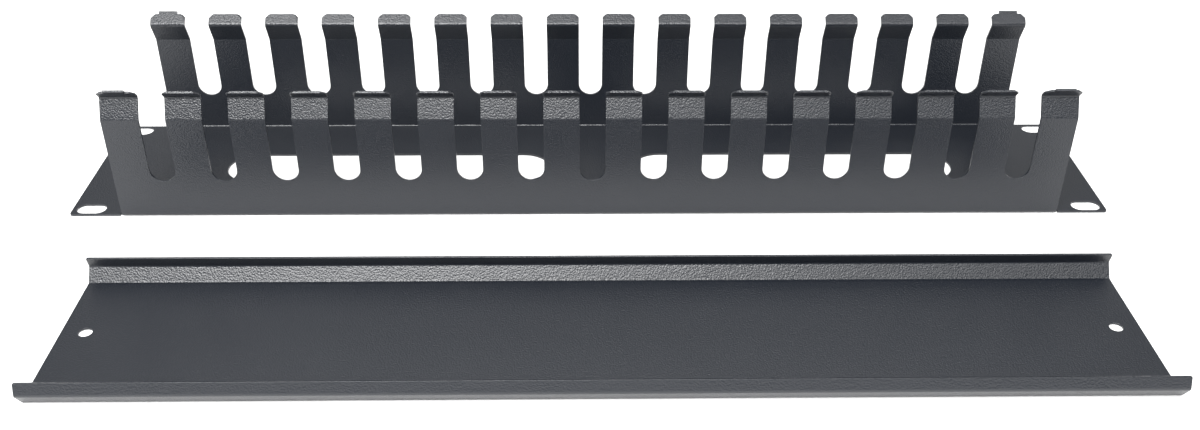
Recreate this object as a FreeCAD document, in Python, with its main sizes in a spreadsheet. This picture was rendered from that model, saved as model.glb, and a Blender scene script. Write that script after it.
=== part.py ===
"""Horizontal cable manager for a 19-inch rack, two units high.

Two folded sheets: the finger panel, a channel whose two walls are slotted
into fingers, and the cover that clips over them, which lies beside it on its
flat face.
The origin is the middle of the panel's underside. X runs along the rack
width, Z points up out of the channel. Millimetres and degrees.
"""
import FreeCAD, Part
import os
import Sketcher

DRIVING_SIZES = {
    # one gauge of sheet for both pieces
    "sheet_thickness": 1.0,
    "bend_radius": 1.0,
    # base plate and its two ears
    "panel_width": 482.6,
    "ear_depth": 86.1,
    "ear_reach": 24.4,
    "ear_corner_radius": 1.5,
    # notch between each ear and the walls' bends, so that the sheet can fold
    "relief_width": 0.9,
    "relief_overcut": 0.4,
    "ear_slot_inset_x": 8.75,
    "ear_slot_inset_y": 4.95,
    "ear_slot_length": 13.5,
    "ear_slot_width": 8.0,
    "opening_length": 157.5,
    "opening_width": 26.0,
    "opening_web": 41.5,
    # walls: an upright, a lean towards the channel, then a lip turned out
    "wall_overhang": 0.75,
    "wall_height": 50.3,
    "lean_length": 10.0,
    "lean_angle": 26.0,
    "lip_length": 5.4,
    "lip_angle": 45.0,
    # the row of fingers
    "finger_slots": 15,
    "slot_width": 11.7,
    "slot_floor": 19.0,
    "end_finger_width": 16.8,
    "lip_chamfer": 2.4,
    "tab_width": 9.0,
    "tab_length": 1.5,
    # cover: a flat face, a flange splayed out, then a lip turned in
    "cover_overhang": 1.35,
    "flange_length": 8.1,
    "flange_angle": 35.0,
    "cover_lip_length": 5.5,
    "cover_lip_angle": 18.0,
    "cover_lip_corner": 0.8,
    # how far the fitted cover springs each row of finger lips inwards
    "snap_preload": 1.55,
    "cover_hole_diameter": 5.6,
    "cover_hole_inset": 9.85,
    "cover_hole_offset": 3.5,
    "cover_apart": 48.9,
    "cover_slide": 3.9,
}

# How far a cutting outline runs past the sheet that it cuts.
OVERRUN = 5.0

doc = FreeCAD.newDocument("cable_manager")
sheet = doc.addObject("Spreadsheet::Sheet", "Sizes")
for row, (alias, value) in enumerate(DRIVING_SIZES.items(), start=1):
    sheet.set(f"A{row}", alias)
    sheet.set(f"B{row}", str(value))
    sheet.setAlias(f"B{row}", alias)
doc.recompute()


def size(text):
    """Names every driving size in an expression by its cell in the sheet."""
    words = []
    word = ""
    for letter in text + " ":
        if letter.isalnum() or letter == "_":
            word += letter
            continue
        words.append(f"Sizes.{word}" if word in DRIVING_SIZES else word)
        words.append(letter)
        word = ""
    return "".join(words).strip()


def value(text):
    """The number that an expression gives now."""
    result = sheet.evalExpression(size(text))
    return float(getattr(result, "Value", result))


def new_body(label):
    body = doc.addObject("PartDesign::Body", label)
    body.Label = label
    return body


def origin_plane(body, role):
    return next(plane for plane in body.Origin.OriginFeatures if plane.Role == role)


def new_sketch(body, role, name):
    sketch = body.newObject("Sketcher::SketchObject", name)
    sketch.AttachmentSupport = [(origin_plane(body, role), "")]
    sketch.MapMode = "FlatFace"
    return sketch


def locate(sketch, edge, end, across, up):
    """Ties one end of an edge to the sketch's origin by two expressions."""
    for kind, text in (("DistanceX", across), ("DistanceY", up)):
        if text is None:
            continue
        index = sketch.addConstraint(
            Sketcher.Constraint(kind, -1, 1, edge, end, value(text))
        )
        sketch.setExpression(f"Constraints[{index}]", size(text))


def add_outline(sketch, corners):
    """A closed outline through corners, each a pair of expressions.

    A corner with a third entry starts a half circle to the next one, bulging
    to the right of the way there. "arc across" also ties the X of its centre
    to the corner's, and "arc up" ties the centre's Y.
    """
    points = [FreeCAD.Vector(value(corner[0]), value(corner[1]), 0) for corner in corners]
    first = sketch.GeometryCount
    for index, corner in enumerate(corners):
        start = points[index]
        end = points[(index + 1) % len(points)]
        if len(corner) == 3:
            middle = (start + end) / 2
            reach = (end - start).Length / 2
            across = FreeCAD.Vector(end.y - start.y, start.x - end.x, 0).normalize()
            bulge = middle + across * reach
            sketch.addGeometry(Part.Arc(start, bulge, end), False)
        else:
            sketch.addGeometry(Part.LineSegment(start, end), False)
    for index, corner in enumerate(corners):
        edge = first + index
        # an arc drawn clockwise is stored turned round, so its ends swap
        following = first + (index + 1) % len(corners)
        sketch.addConstraint(
            Sketcher.Constraint(
                "Coincident",
                edge,
                end_of(sketch, edge, points[(index + 1) % len(points)]),
                following,
                end_of(sketch, following, points[(index + 1) % len(points)]),
            )
        )
    for index, corner in enumerate(corners):
        edge = first + index
        locate(sketch, edge, end_of(sketch, edge, points[index]), corner[0], corner[1])
        if len(corner) == 3:
            if corner[2] == "arc across":
                locate(sketch, edge, 3, corner[0], None)
            else:
                locate(sketch, edge, 3, None, corner[1])


def end_of(sketch, edge, point):
    """Which end of an edge, 1 for its start or 2 for its end, is at a point."""
    curve = sketch.Geometry[edge]
    return 1 if (curve.StartPoint - point).Length < (curve.EndPoint - point).Length else 2


def symmetric_pad(body, sketch, name, length):
    pad = body.newObject("PartDesign::Pad", name)
    pad.Profile = sketch
    pad.SideType = "Symmetric"
    pad.setExpression("Length", size(length))
    return pad


def through_pocket(body, sketch, name, length):
    """Cuts an outline right through, half of the length to either side."""
    pocket = body.newObject("PartDesign::Pocket", name)
    pocket.Profile = sketch
    pocket.SideType = "Symmetric"
    pocket.setExpression("Length", size(length))
    return pocket


def fold_edges(feature, across, up):
    """The edges along X that lie at plus or minus across, and at height up."""
    names = []
    for number, edge in enumerate(feature.Shape.Edges, start=1):
        start, end = edge.Vertexes[0].Point, edge.Vertexes[-1].Point
        along_x = abs(start.y - end.y) < 1e-6 and abs(start.z - end.z) < 1e-6
        if along_x and abs(abs(start.y) - across) < 1e-4 and abs(start.z - up) < 1e-4:
            names.append(f"Edge{number}")
    return names


def round_folds(body, base, name, corners, radius):
    """Rounds the fold lines that run through corners of the section."""
    names = []
    for across, up in corners:
        names += fold_edges(base, value(across), value(up))
    fillet = body.newObject("PartDesign::Fillet", name)
    fillet.Base = (base, names)
    fillet.setExpression("Radius", size(radius))
    return fillet


def mirrored_section(outer, inner):
    """The closed section whose right half is given from the middle out."""
    half = outer + inner[::-1]
    left = [(f"-({across})", up) for across, up in half[::-1]]
    return half + left


# Section of one wall, as distances from the middle and heights. Each fold's
# inner corner is its outer corner set in by the sheet's thickness.
lean_out = "lean_length * sin(lean_angle)"
lean_up = "lean_length * cos(lean_angle)"
half_fold = "cos((lean_angle + lip_angle) / 2)"
wall_half = "(ear_depth / 2 + wall_overhang)"
foot_outer = (wall_half, "0")
foot_inner = (f"{wall_half} - sheet_thickness", "sheet_thickness")
knee_outer = (wall_half, "wall_height")
knee_inner = (
    f"{wall_half} - sheet_thickness",
    "wall_height - sheet_thickness * tan(lean_angle / 2)",
)
waist_outer = (f"{wall_half} - {lean_out}", f"wall_height + {lean_up}")
waist_inner = (
    f"{waist_outer[0]} - sheet_thickness * cos((lean_angle - lip_angle) / 2) / {half_fold}",
    f"{waist_outer[1]} + sheet_thickness * sin((lip_angle - lean_angle) / 2) / {half_fold}",
)
tip_outer = (
    f"{waist_outer[0]} + lip_length * sin(lip_angle)",
    f"{waist_outer[1]} + lip_length * cos(lip_angle)",
)
tip_inner = (
    f"{tip_outer[0]} - sheet_thickness * cos(lip_angle)",
    f"{tip_outer[1]} + sheet_thickness * sin(lip_angle)",
)
# The fingers fill the row between the ears, evenly pitched.
row_length = "(panel_width - 2 * ear_reach)"
slot_pitch = f"(({row_length} - slot_width - 2 * end_finger_width) / (finger_slots - 1))"
cover_length = f"({row_length} + 2 * cover_overhang)"
OUTER_BEND = "bend_radius + sheet_thickness"
bend_start = f"({wall_half} - ({OUTER_BEND}))"


def obround(sketch, centre_x, centre_y, length, width):
    """A slot with half-round ends, its length along X."""
    straight = f"({length} - {width}) / 2"
    left, right = f"{centre_x} - {straight}", f"{centre_x} + {straight}"
    low, high = f"{centre_y} - ({width}) / 2", f"{centre_y} + ({width}) / 2"
    add_outline(
        sketch,
        [(left, low), (right, low, "arc across"), (right, high), (left, high, "arc across")],
    )


def make_channel(body):
    """The folded channel: base and both walls, before anything is cut."""
    outline = new_sketch(body, "YZ_Plane", "channel_section")
    add_outline(
        outline,
        mirrored_section(
            [foot_outer, knee_outer, waist_outer, tip_outer],
            [foot_inner, knee_inner, waist_inner, tip_inner],
        ),
    )
    channel = symmetric_pad(body, outline, "channel", row_length)
    doc.recompute()
    convex = round_folds(
        body, channel, "outer_bends", [foot_outer, knee_outer, waist_inner], OUTER_BEND
    )
    doc.recompute()
    return round_folds(
        body, convex, "inner_bends", [foot_inner, knee_inner, waist_outer], "bend_radius"
    )


def make_ears(body):
    """The base plate's two ends, which pass the walls and bolt to the rack."""
    outline = new_sketch(body, "XY_Plane", "ear_outline")
    for side in ("", "-"):
        inner, outer = f"{side}{row_length} / 2", f"{side}panel_width / 2"
        notch = f"{side}({row_length} / 2 + relief_width)"
        add_outline(
            outline,
            [
                (inner, f"-({bend_start} - relief_overcut)"),
                (notch, f"-({bend_start} - relief_overcut)"),
                (notch, "-ear_depth / 2"),
                (outer, "-ear_depth / 2"),
                (outer, "ear_depth / 2"),
                (notch, "ear_depth / 2"),
                (notch, f"{bend_start} - relief_overcut"),
                (inner, f"{bend_start} - relief_overcut"),
            ],
        )
    ears = body.newObject("PartDesign::Pad", "ears")
    ears.Profile = outline
    ears.setExpression("Length", size("sheet_thickness"))
    doc.recompute()
    reach = value("panel_width") / 2
    corners = [
        f"Edge{number}"
        for number, edge in enumerate(ears.Shape.Edges, start=1)
        if all(abs(abs(vertex.X) - reach) < 1e-6 for vertex in edge.Vertexes)
        and abs(edge.Vertexes[0].Z - edge.Vertexes[-1].Z) > 1e-6
    ]
    rounded = body.newObject("PartDesign::Fillet", "ear_corners")
    rounded.Base = (ears, corners)
    rounded.setExpression("Radius", size("ear_corner_radius"))


def cut_base(body):
    """Rack slots in the ears and two long openings in the base."""
    outline = new_sketch(body, "XY_Plane", "base_cuts")
    for side_x in ("", "-"):
        for side_y in ("", "-"):
            obround(
                outline,
                f"{side_x}(panel_width / 2 - ear_slot_inset_x)",
                f"{side_y}(ear_depth / 2 - ear_slot_inset_y)",
                "ear_slot_length",
                "ear_slot_width",
            )
        obround(
            outline,
            f"{side_x}(opening_web + opening_length) / 2",
            "0",
            "opening_length",
            "opening_width",
        )
    through_pocket(body, outline, "base_openings", "4 * sheet_thickness")


def cut_fingers(body):
    """Open-topped slots through both walls, and the chamfered lip corners."""
    first = f"-(finger_slots - 1) * {slot_pitch} / 2"
    left, right = f"{first} - slot_width / 2", f"{first} + slot_width / 2"
    spring = "slot_floor + slot_width / 2"
    shoulder = f"{tip_inner[1]} - lip_chamfer * cos(lip_angle)"
    above = f"{tip_inner[1]} + {OVERRUN}"
    depth = f"2 * {wall_half} + 4 * {OVERRUN}"
    outline = new_sketch(body, "XZ_Plane", "finger_slot")
    add_outline(
        outline,
        [
            (left, spring, "arc up"),
            (right, spring),
            (right, shoulder),
            (f"{right} + lip_chamfer", tip_inner[1]),
            (f"{right} + lip_chamfer", above),
            (f"{left} - lip_chamfer", above),
            (f"{left} - lip_chamfer", tip_inner[1]),
            (left, shoulder),
        ],
    )
    slot = through_pocket(body, outline, "first_slot", depth)
    doc.recompute()
    pattern = body.newObject("PartDesign::LinearPattern", "finger_slots")
    pattern.Originals = [slot]
    pattern.Direction = (outline, ["H_Axis"])
    pattern.setExpression("Length", size(f"(finger_slots - 1) * {slot_pitch}"))
    pattern.setExpression("Occurrences", size("finger_slots"))
    body.Tip = pattern
    doc.recompute()

    ends = new_sketch(body, "XZ_Plane", "end_chamfer")
    for side in ("", "-"):
        add_outline(
            ends,
            [
                (f"{side}{row_length} / 2", shoulder),
                (f"{side}({row_length} / 2 + {OVERRUN})", shoulder),
                (f"{side}({row_length} / 2 + {OVERRUN})", above),
                (f"{side}({row_length} / 2 - lip_chamfer)", above),
                (f"{side}({row_length} / 2 - lip_chamfer)", tip_inner[1]),
            ],
        )
    through_pocket(body, ends, "end_chamfers", depth)
    doc.recompute()


def add_tabs(body):
    """A short narrow tab on the lip of each of the four end fingers."""
    grow_out, grow_up = "tab_length * sin(lip_angle)", "tab_length * cos(lip_angle)"
    outline = new_sketch(body, "YZ_Plane", "tab_section")
    outline.setExpression(
        "AttachmentOffset.Base.z", size(f"{row_length} / 2 - end_finger_width / 2")
    )
    for side in ("", "-"):
        add_outline(
            outline,
            [
                (f"{side}({tip_outer[0]})", tip_outer[1]),
                (f"{side}({tip_outer[0]} + {grow_out})", f"{tip_outer[1]} + {grow_up}"),
                (f"{side}({tip_inner[0]} + {grow_out})", f"{tip_inner[1]} + {grow_up}"),
                (f"{side}({tip_inner[0]})", tip_inner[1]),
            ],
        )
    tabs = symmetric_pad(body, outline, "right_tabs", "tab_width")
    doc.recompute()
    mirror = body.newObject("PartDesign::Mirrored", "left_tabs")
    mirror.Originals = [tabs]
    mirror.MirrorPlane = (origin_plane(body, "YZ_Plane"), [""])
    body.Tip = mirror


def make_finger_panel():
    body = new_body("finger_panel")
    make_channel(body)
    doc.recompute()
    make_ears(body)
    doc.recompute()
    cut_base(body)
    doc.recompute()
    cut_fingers(body)
    add_tabs(body)
    return body


# Section of the cover. Its fold grips the tips of the finger lips.
half_splay = "cos((flange_angle + cover_lip_angle) / 2)"
fold_inner = (
    f"{tip_outer[0]} - snap_preload",
    "flange_length * cos(flange_angle) + sheet_thickness"
    f" * sin((flange_angle - cover_lip_angle) / 2) / {half_splay}",
)
fold_outer = (
    f"{fold_inner[0]} + sheet_thickness"
    f" * cos((flange_angle - cover_lip_angle) / 2) / {half_splay}",
    "flange_length * cos(flange_angle)",
)
face_outer = (f"{fold_outer[0]} - flange_length * sin(flange_angle)", "0")
face_inner = (
    f"{face_outer[0]} - sheet_thickness * cos(flange_angle) / (1 + sin(flange_angle))",
    "sheet_thickness",
)
catch_outer = (
    f"{fold_outer[0]} - cover_lip_length * sin(cover_lip_angle)",
    f"{fold_outer[1]} + cover_lip_length * cos(cover_lip_angle)",
)
catch_inner = (
    f"{catch_outer[0]} - sheet_thickness * cos(cover_lip_angle)",
    f"{catch_outer[1]} - sheet_thickness * sin(cover_lip_angle)",
)


def make_snap_cover():
    body = new_body("snap_cover")
    outline = new_sketch(body, "YZ_Plane", "cover_section")
    add_outline(
        outline,
        mirrored_section(
            [face_outer, fold_outer, catch_outer], [face_inner, fold_inner, catch_inner]
        ),
    )
    folded = symmetric_pad(body, outline, "folded_sheet", cover_length)
    doc.recompute()
    convex = round_folds(body, folded, "outer_bends", [face_outer, fold_outer], OUTER_BEND)
    doc.recompute()
    concave = round_folds(body, convex, "inner_bends", [face_inner, fold_inner], "bend_radius")
    doc.recompute()

    reach = value(cover_length) / 2
    tops = (value(catch_outer[1]), value(catch_inner[1]))
    corners = []
    for number, edge in enumerate(concave.Shape.Edges, start=1):
        ends = [vertex.Point for vertex in edge.Vertexes]
        at_end = abs(abs(ends[0].x) - reach) < 1e-6
        across = abs(ends[0].x - ends[-1].x) < 1e-6
        at_top = all(min(abs(point.z - top) for top in tops) < 1e-4 for point in ends)
        if at_end and across and at_top:
            corners.append(f"Edge{number}")
    rounded = body.newObject("PartDesign::Fillet", "lip_corners")
    rounded.Base = (concave, corners)
    rounded.setExpression("Radius", size("cover_lip_corner"))
    doc.recompute()

    holes = new_sketch(body, "XY_Plane", "cover_holes")
    for side in ("", "-"):
        centre_x = f"{side}({cover_length} / 2 - cover_hole_inset)"
        centre = FreeCAD.Vector(value(centre_x), value("cover_hole_offset"), 0)
        circle = holes.addGeometry(
            Part.Circle(centre, FreeCAD.Vector(0, 0, 1), value("cover_hole_diameter") / 2), False
        )
        locate(holes, circle, 3, centre_x, "cover_hole_offset")
        index = holes.addConstraint(
            Sketcher.Constraint("Diameter", circle, value("cover_hole_diameter"))
        )
        holes.setExpression(f"Constraints[{index}]", size("cover_hole_diameter"))
    through_pocket(body, holes, "end_holes", "4 * sheet_thickness")

    body.setExpression("Placement.Base.x", size("cover_slide"))
    body.setExpression(
        "Placement.Base.y", size(f"-({wall_half} + cover_apart + {fold_outer[0]})")
    )
    return body


def check(bodies):
    """Stops if any object failed, or if a piece is not one sound solid."""
    for item in doc.Objects:
        if "Invalid" in item.State or "Error" in item.State:
            raise RuntimeError(f"{item.Name} did not build: {item.State}")
    for body in bodies:
        shape = body.Shape
        if shape.isNull() or not shape.isValid() or len(shape.Solids) != 1:
            raise RuntimeError(f"{body.Label} is not one valid solid")


pieces = [make_finger_panel(), make_snap_cover()]
doc.recompute()
check(pieces)
os.makedirs("parts", exist_ok=True)
for piece in pieces:
    box = piece.Shape.BoundBox
    print(
        f"{piece.Label}: {box.XLength:.1f} x {box.YLength:.1f} x {box.ZLength:.1f} mm,"
        f" volume {piece.Shape.Volume / 1000:.1f} cm3, {len(piece.Shape.Faces)} faces"
    )
    piece.Shape.exportStep(f"parts/{piece.Label}.step")
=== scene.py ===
# %% [markdown]
# # A powder-coated rack cable manager
# The object is two folded steel sheets: a channel whose walls are cut into
# fingers, and the cover that snaps on to them, here taken off and laid down.
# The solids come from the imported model, so this lesson is about the finish:
# edges softened by paint, a charcoal powder coat, and light that shows both.

import math

import bmesh
import bpy
import numpy as np
from mathutils import Matrix, Vector


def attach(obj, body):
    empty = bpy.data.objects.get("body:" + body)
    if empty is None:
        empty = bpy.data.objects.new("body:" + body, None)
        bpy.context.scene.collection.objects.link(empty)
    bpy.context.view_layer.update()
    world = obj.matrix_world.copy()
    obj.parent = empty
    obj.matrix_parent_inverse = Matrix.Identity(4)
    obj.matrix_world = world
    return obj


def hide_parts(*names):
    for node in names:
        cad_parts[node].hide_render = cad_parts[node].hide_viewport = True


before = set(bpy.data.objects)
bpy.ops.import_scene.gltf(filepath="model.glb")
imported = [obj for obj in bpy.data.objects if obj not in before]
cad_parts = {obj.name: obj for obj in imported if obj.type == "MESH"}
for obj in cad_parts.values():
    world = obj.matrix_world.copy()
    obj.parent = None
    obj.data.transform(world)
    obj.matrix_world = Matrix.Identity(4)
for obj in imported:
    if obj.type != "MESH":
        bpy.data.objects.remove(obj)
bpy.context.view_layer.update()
print("nodes:", sorted(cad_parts))

# %% [markdown]
# ## Pebbles that look like powder coat
# Powder melts into a skin of small soft pebbles, called orange peel. They are
# under a millimetre across and too shallow to change the outline, so a bump is
# right for them. Plain noise gives wavy ridges, while a smooth Voronoi pattern
# gives round grains, as powder does. A node group holds the effect, because
# both sheets use it, and Object coordinates keep the grain at its real size.

# %% Build the orange-peel group
PEBBLE_SIZE = 0.0007
PEBBLE_SMOOTHNESS = 0.6
SPECK_SIZE = 0.0003
SPECK_SHARE = 0.35
PATCH_SIZE = 0.045


def make_peel_group():
    """Height falls with the distance to the nearest pebble's middle, smoothed.

    A share of finer noise is added to it. Patch is a slow noise for an uneven
    coat. Each pattern's scale is one over its size.
    """
    group = bpy.data.node_groups.new("orange_peel", "ShaderNodeTree")
    face = group.interface
    face.new_socket("Vector", in_out="INPUT", socket_type="NodeSocketVector")
    face.new_socket("Height", in_out="OUTPUT", socket_type="NodeSocketFloat")
    face.new_socket("Patch", in_out="OUTPUT", socket_type="NodeSocketFloat")
    nodes, links = group.nodes, group.links
    given = nodes.new("NodeGroupInput")
    result = nodes.new("NodeGroupOutput")

    def pattern(kind, size):
        node = nodes.new(kind)
        node.inputs["Scale"].default_value = 1 / size
        links.new(given.outputs["Vector"], node.inputs["Vector"])
        return node

    pebbles = pattern("ShaderNodeTexVoronoi", PEBBLE_SIZE)
    pebbles.feature = "SMOOTH_F1"
    pebbles.inputs["Smoothness"].default_value = PEBBLE_SMOOTHNESS
    specks = pattern("ShaderNodeTexNoise", SPECK_SIZE)
    specks.inputs["Detail"].default_value = 0.0
    patch = pattern("ShaderNodeTexNoise", PATCH_SIZE)
    add_specks = nodes.new("ShaderNodeMath")
    add_specks.operation = "MULTIPLY_ADD"
    add_specks.inputs[1].default_value = SPECK_SHARE
    add_specks.inputs[2].default_value = 1.0
    height = nodes.new("ShaderNodeMath")
    height.operation = "SUBTRACT"
    links.new(specks.outputs["Fac"], add_specks.inputs[0])
    links.new(add_specks.outputs[0], height.inputs[0])
    links.new(pebbles.outputs["Distance"], height.inputs[1])
    links.new(height.outputs[0], result.inputs["Height"])
    links.new(patch.outputs["Fac"], result.inputs["Patch"])
    return group


peel_group = make_peel_group()
print("group:", peel_group.name, "with", len(peel_group.nodes), "nodes")

# %% [markdown]
# ## The charcoal coat
# The coat is a dielectric: a dark, slightly blue pigment under its own gloss.
# The Principled BSDF gives that directly. The patch noise moves the colour and
# the roughness by a few percent, so that no large face is a single flat tone.

# %% Make the two coats
PEEL_DEPTH = 0.00011
COAT_DARK = (0.0060, 0.0080, 0.0125, 1.0)
COAT_LIGHT = (0.0075, 0.0098, 0.0145, 1.0)
COAT_GLOSS = 0.62
SMOOTHEST, ROUGHEST = 0.31, 0.35


def make_coat(name):
    """A dark dielectric whose colour and roughness drift with the patches."""
    coat = bpy.data.materials.new(name)
    coat.use_nodes = True
    nodes, links = coat.node_tree.nodes, coat.node_tree.links
    shader = nodes["Principled BSDF"]
    shader.inputs["Specular IOR Level"].default_value = COAT_GLOSS
    where = nodes.new("ShaderNodeTexCoord")
    peel = nodes.new("ShaderNodeGroup")
    peel.node_tree = peel_group
    links.new(where.outputs["Object"], peel.inputs["Vector"])

    colour = nodes.new("ShaderNodeMix")
    colour.data_type = "RGBA"
    colour.inputs["A"].default_value = COAT_DARK
    colour.inputs["B"].default_value = COAT_LIGHT
    links.new(peel.outputs["Patch"], colour.inputs["Factor"])
    links.new(colour.outputs["Result"], shader.inputs["Base Color"])

    gloss = nodes.new("ShaderNodeMapRange")
    gloss.inputs["To Min"].default_value = SMOOTHEST
    gloss.inputs["To Max"].default_value = ROUGHEST
    links.new(peel.outputs["Patch"], gloss.inputs["Value"])
    links.new(gloss.outputs["Result"], shader.inputs["Roughness"])

    bump = nodes.new("ShaderNodeBump")
    bump.inputs["Strength"].default_value = 1.0
    bump.inputs["Distance"].default_value = PEEL_DEPTH
    links.new(peel.outputs["Height"], bump.inputs["Height"])
    links.new(bump.outputs["Normal"], shader.inputs["Normal"])
    return coat


panel_coat = make_coat("charcoal_panel")
cover_coat = make_coat("charcoal_cover")
print("coats:", panel_coat.name, cover_coat.name)

# %% [markdown]
# ## Paint rounds every cut edge
# A punched edge is sharp, but a baked coat draws back and rounds over it. That
# thin round is what catches the light along each finger. Each sheet gets a
# skin: a copy of its solid, merged into one surface, with a narrow bevel on
# its sharp edges only. The bends are already round in the solid.

# %% Skin the two sheets
EDGE_ROUND = 0.00018
SHARP = math.radians(35)
FLAT = math.radians(0.5)
SAME_POINT = 1e-6
LARGE_FACES_FIRST = 100


def make_skin(node_name, piece_name, coat):
    """The solid's surface with each edge sharper than SHARP cut by a round.

    Points closer than SAME_POINT are merged, and triangles that meet flatter
    than FLAT become one face. Each face is then shaded by its large parts, so
    that the round doesn't bend the light on the flat beside it.
    """
    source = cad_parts[node_name]
    shape = bmesh.new()
    shape.from_mesh(source.data)
    bmesh.ops.remove_doubles(shape, verts=shape.verts, dist=SAME_POINT)
    bmesh.ops.dissolve_limit(
        shape,
        angle_limit=FLAT,
        verts=shape.verts,
        edges=shape.edges,
        use_dissolve_boundaries=False,
    )
    bmesh.ops.recalc_face_normals(shape, faces=shape.faces)
    open_edges = sum(1 for edge in shape.edges if len(edge.link_faces) != 2)
    mesh = bpy.data.meshes.new(piece_name)
    shape.to_mesh(mesh)
    shape.free()
    mesh.materials.clear()
    mesh.materials.append(coat)
    mesh.shade_smooth()
    piece = bpy.data.objects.new(piece_name, mesh)
    bpy.context.scene.collection.objects.link(piece)
    bevel = piece.modifiers.new("paint_round", "BEVEL")
    bevel.width = EDGE_ROUND
    bevel.segments = 2
    bevel.limit_method = "ANGLE"
    bevel.angle_limit = SHARP
    level = piece.modifiers.new("level_faces", "WEIGHTED_NORMAL")
    level.mode = "FACE_AREA"
    level.weight = LARGE_FACES_FIRST
    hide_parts(node_name)
    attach(piece, "root")
    print(piece_name, "faces", len(mesh.polygons), "open edges", open_edges)


make_skin("finger_panel", "painted_panel", panel_coat)
make_skin("snap_cover", "painted_cover", cover_coat)

# %% [markdown]
# ## A seamless studio floor
# A pale sheet larger than the view stands for the paper sweep. It is not part
# of the object.

# %% Lay the floor
FLOOR_REACH = 6.0
FLOOR_DROP = 0.00002
FLOOR_WHITE = (0.9, 0.9, 0.9, 1.0)
FLOOR_ROUGHNESS = 0.9


def make_floor():
    """A flat square: corners at plus and minus the reach, a hair under the base."""
    signs = np.array([(-1, -1), (1, -1), (1, 1), (-1, 1)], dtype=float)
    corners = np.column_stack([signs * FLOOR_REACH, np.full(4, -FLOOR_DROP)])
    mesh = bpy.data.meshes.new("studio_floor")
    mesh.from_pydata(corners.tolist(), [], [(0, 1, 2, 3)])
    floor = bpy.data.objects.new("studio_floor", mesh)
    bpy.context.scene.collection.objects.link(floor)
    paper = bpy.data.materials.new("pale_paper")
    paper.use_nodes = True
    shader = paper.node_tree.nodes["Principled BSDF"]
    shader.inputs["Base Color"].default_value = FLOOR_WHITE
    shader.inputs["Roughness"].default_value = FLOOR_ROUGHNESS
    shader.inputs["Specular IOR Level"].default_value = 0.0
    mesh.materials.append(paper)


make_floor()
print("floor reaches", FLOOR_REACH, "m each way")

# %% [markdown]
# ## Strip lights in front and behind
# A dark gloss coat shows little of its own colour: its tone is mostly what it
# mirrors. The faces that lean back mirror the front, almost 50 degrees up, so
# the strongest strip hangs there, to the left, and weaker strips above and to
# the right let the tone fall slowly from left to right. One strip overhead
# draws the sheets' top edges, and two behind are what the flat faces mirror.
# The white floor lights the upright walls. The air is dim and even, so that the
# inner faces stay dark and the floor fades softly where the strips end.

# %% Hang the lights
STRIP_DISTANCE = 1.5
STRIP_AIM = (0.0, -0.08, 0.0)
LEFT, RIGHT = -0.4, 0.6
BEHIND = (0.0, 0.95, 1.35)
OVERHEAD = (0.0, 0.4, 1.42)
LOW_BEHIND = (0.0, 1.6, 0.8)
KEY_SIZE = (1.0, 0.4)
FRONT_SIZE = (1.0, 0.3)
BACK_SIZE = (1.8, 0.6)
EDGE_SIZE = (1.6, 0.25)
AIR_STRENGTH = 0.3


def front_place(rise, sideways):
    """A place in front at the strip distance, rise degrees above the floor."""
    angle = math.radians(rise)
    return (
        sideways,
        STRIP_AIM[1] - STRIP_DISTANCE * math.cos(angle),
        STRIP_DISTANCE * math.sin(angle),
    )


def make_strip(name, place, size, power):
    """A rectangular area light at a place, facing the aim, with power in watts."""
    lamp = bpy.data.lights.new(name, "AREA")
    lamp.shape = "RECTANGLE"
    lamp.size, lamp.size_y = size
    lamp.energy = power
    holder = bpy.data.objects.new(name, lamp)
    bpy.context.scene.collection.objects.link(holder)
    holder.location = place
    facing = Vector(STRIP_AIM) - Vector(place)
    holder.rotation_euler = facing.to_track_quat("-Z", "Y").to_euler()


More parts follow.
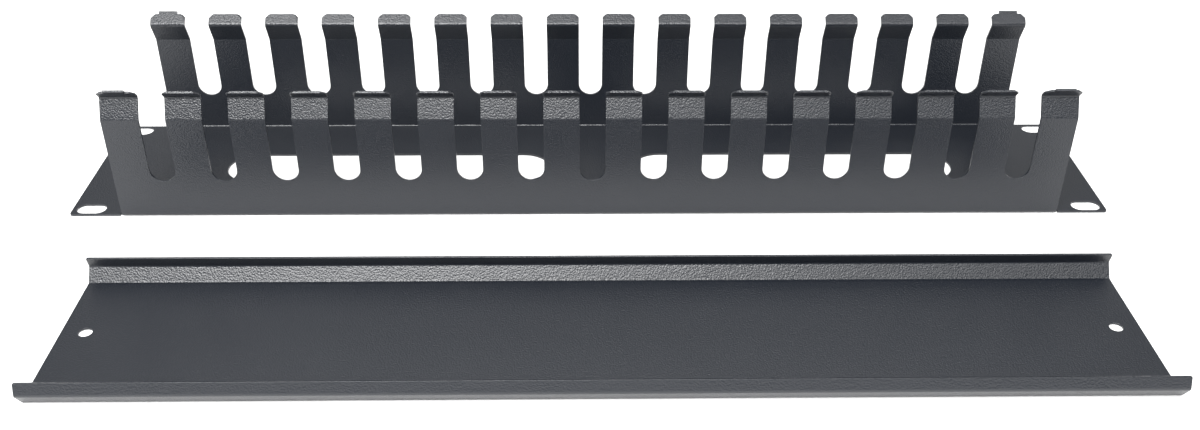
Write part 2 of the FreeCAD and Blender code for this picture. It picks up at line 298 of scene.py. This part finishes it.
make_strip("key_strip", front_place(47, LEFT), KEY_SIZE, 30.0)
make_strip("upper_strip", front_place(63, LEFT), FRONT_SIZE, 11.0)
make_strip("low_right_strip", front_place(37, RIGHT), FRONT_SIZE, 4.0)
make_strip("high_right_strip", front_place(61, RIGHT), FRONT_SIZE, 5.5)
make_strip("back_strip", BEHIND, BACK_SIZE, 2.5)
make_strip("edge_strip", OVERHEAD, EDGE_SIZE, 12.0)
make_strip("low_back_strip", LOW_BEHIND, BACK_SIZE, 2.0)
air = bpy.data.worlds.new("studio_air")
air.use_nodes = True
glow = air.node_tree.nodes["Background"]
glow.inputs["Color"].default_value = (1.0, 1.0, 1.0, 1.0)
glow.inputs["Strength"].default_value = AIR_STRENGTH
bpy.context.scene.world = air

# %% [markdown]
# ## How bright tones are shown
# Blender's default view squeezes bright tones together, which turns a white
# floor grey and flattens the coat. The standard view keeps the floor white, as
# a studio picture of a product does.

# %% Choose the view
bpy.context.scene.view_settings.view_transform = "Standard"
print("view:", bpy.context.scene.view_settings.view_transform)

# %% [markdown]
# ## The camera
# The camera looks down on the pair from in front, about 0.6 m away. Its three
# axes are worked out from how far it turns, dips and rolls, and put into a
# matrix, which is clearer than three chained rotations.

# %% Place the camera
CAMERA_PLACE = (-0.007065, -0.5317, 0.3074)
CAMERA_TURN = 0.02178
CAMERA_DIP = 0.5619
CAMERA_ROLL = 0.008135
SENSOR_WIDTH = 36.0
LENS = 37.23


def camera_matrix(place, turn, dip, roll):
    """Forward points down by the dip; right and up are then turned by the roll."""
    level = math.cos(dip)
    forward = Vector((math.sin(turn) * level, math.cos(turn) * level, -math.sin(dip)))
    right = Vector((math.cos(turn), -math.sin(turn), 0.0))
    up = right.cross(forward)
    rolled_right = right * math.cos(roll) + up * math.sin(roll)
    rolled_up = up * math.cos(roll) - right * math.sin(roll)
    turned = Matrix((rolled_right, rolled_up, -forward)).transposed().to_4x4()
    return Matrix.Translation(place) @ turned


lens = bpy.data.cameras.new("studio_camera")
lens.lens = LENS
lens.sensor_width = SENSOR_WIDTH
camera = bpy.data.objects.new("studio_camera", lens)
camera.matrix_world = camera_matrix(CAMERA_PLACE, CAMERA_TURN, CAMERA_DIP, CAMERA_ROLL)
bpy.context.scene.collection.objects.link(camera)
bpy.context.scene.camera = camera
print("camera at", CAMERA_PLACE, "lens", LENS, "mm")
